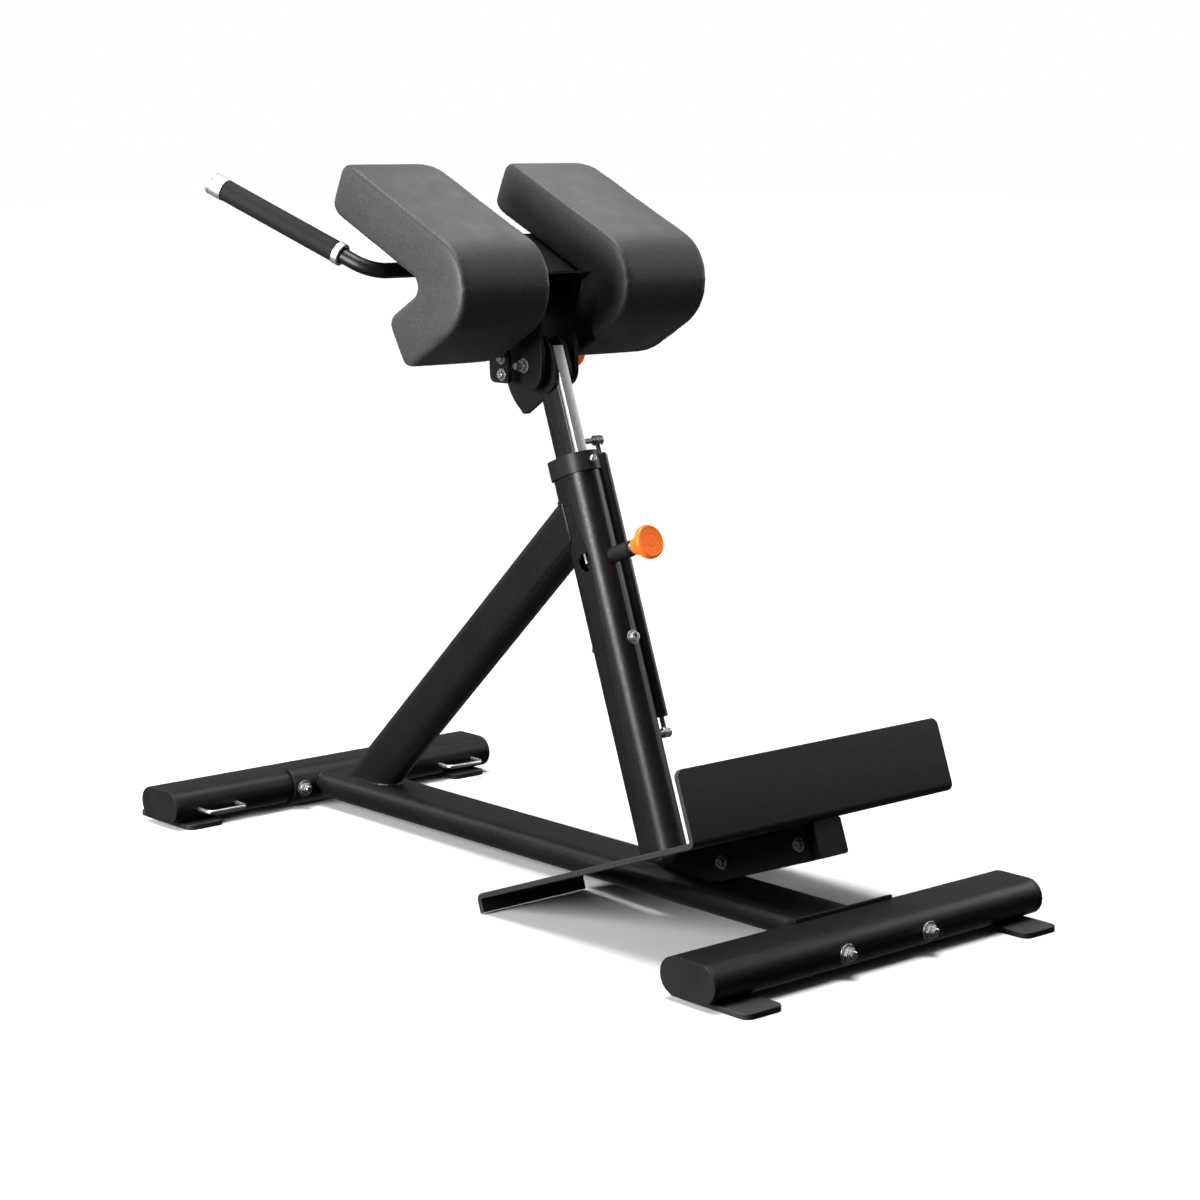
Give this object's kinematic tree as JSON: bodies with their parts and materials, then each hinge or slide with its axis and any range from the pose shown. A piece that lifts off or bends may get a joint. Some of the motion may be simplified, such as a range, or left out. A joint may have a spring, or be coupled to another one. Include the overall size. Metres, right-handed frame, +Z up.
{
  "type": "roman chair",
  "caption": "Back-extension bench: sprung-pin height post on a sloping mast, twin hinged thigh pads with hand grips, and a sloping foot plate on two floor bars.",
  "frame": {"origin": "on the floor under the middle of the machine, at the bottom centre of its bounding box", "axes": "+X towards the front bar, the way the user faces; +Y to the machine's left; +Z up"},
  "size_m": [1.379, 0.6974, 1.0218],
  "materials": {
    "frame_paint": "satin black powder coat",
    "textured_paint": "fine textured black powder coat",
    "black_plastic": "satin moulded black",
    "zinc_steel": "bright zinc plate",
    "aluminium": "satin machined",
    "orange_plastic": "smooth orange",
    "pad_vinyl": "smooth matt black vinyl",
    "grip_rubber": "matt black"
  },
  "bodies": {
    "frame": {"band_loop_left": "zinc_steel", "band_loop_right": "zinc_steel", "base_tube": "frame_paint", "brace": "frame_paint", "collar_screw": "zinc_steel", "foot_arm": "frame_paint", "foot_arm_cap": "black_plastic", "foot_bolt_front": "zinc_steel", "foot_bolt_rear": "zinc_steel", "foot_bracket_left": "frame_paint", "foot_bracket_right": "frame_paint", "foot_plate": "textured_paint", "front_bar_bolt_left": "zinc_steel", "front_bar_bolt_right": "zinc_steel", "front_cap_left": "black_plastic", "front_cap_right": "black_plastic", "front_floor_bar": "frame_paint", "front_floor_plate_left": "textured_paint", "front_floor_plate_right": "textured_paint", "height_pin_barrel": "black_plastic", "mast_collar": "black_plastic", "outer_mast": "frame_paint", "rear_bar_bolt_left": "zinc_steel", "rear_bar_bolt_right": "zinc_steel", "rear_cap_left": "black_plastic", "rear_cap_right": "black_plastic", "rear_floor_bar": "frame_paint", "rear_floor_plate_left": "textured_paint", "rear_floor_plate_right": "textured_paint", "spring_rod": "zinc_steel", "stop_bolt": "zinc_steel"},
    "slider": {"inner_mast": "frame_paint", "mast_rail": "aluminium", "head_plate_left": "frame_paint", "head_plate_right": "frame_paint", "sector_plate": "frame_paint", "spring_cylinder": "frame_paint", "spring_top_stud": "zinc_steel"},
    "height_pin": {"height_plunger": "zinc_steel", "height_knob": "orange_plastic"},
    "pad_head": {"cheek_left": "frame_paint", "cheek_right": "frame_paint", "ear_bolt_lower_left": "zinc_steel", "ear_bolt_lower_right": "zinc_steel", "ear_bolt_upper_left": "zinc_steel", "ear_bolt_upper_right": "zinc_steel", "grip_cap_left": "aluminium", "grip_cap_right": "aluminium", "grip_ring_left": "aluminium", "grip_ring_right": "aluminium", "hand_grip_left": "grip_rubber", "hand_grip_right": "grip_rubber", "handle_tube": "frame_paint", "pad_yoke": "frame_paint", "pivot_bolt": "zinc_steel", "thigh_pad_left": "pad_vinyl", "thigh_pad_right": "pad_vinyl", "tilt_pin_barrel": "black_plastic"},
    "tilt_pin": {"tilt_plunger": "zinc_steel", "tilt_knob": "orange_plastic"}
  },
  "joints": [
    {"name": "post_slide", "type": "slide", "parent": "frame", "child": "slider", "axis": [0.342, 0, 0.9397], "range_m": [0, 0.112]},
    {"name": "height_pin_pull", "type": "slide", "parent": "frame", "child": "height_pin", "axis": [-0.9397, 0, 0.342], "range_m": [0, 0.012], "stiffness_N_per_m": 900, "springref_m": -0.004},
    {"name": "pad_tilt", "type": "hinge", "parent": "slider", "child": "pad_head", "pos_m": [0.03954, 0, 0.73738], "axis": [0, 1, 0], "range_deg": [0, 30]},
    {"name": "tilt_pin_pull", "type": "slide", "parent": "pad_head", "child": "tilt_pin", "axis": [0, -1, 0], "range_m": [0, 0.012], "stiffness_N_per_m": 900, "springref_m": -0.004}
  ]
}
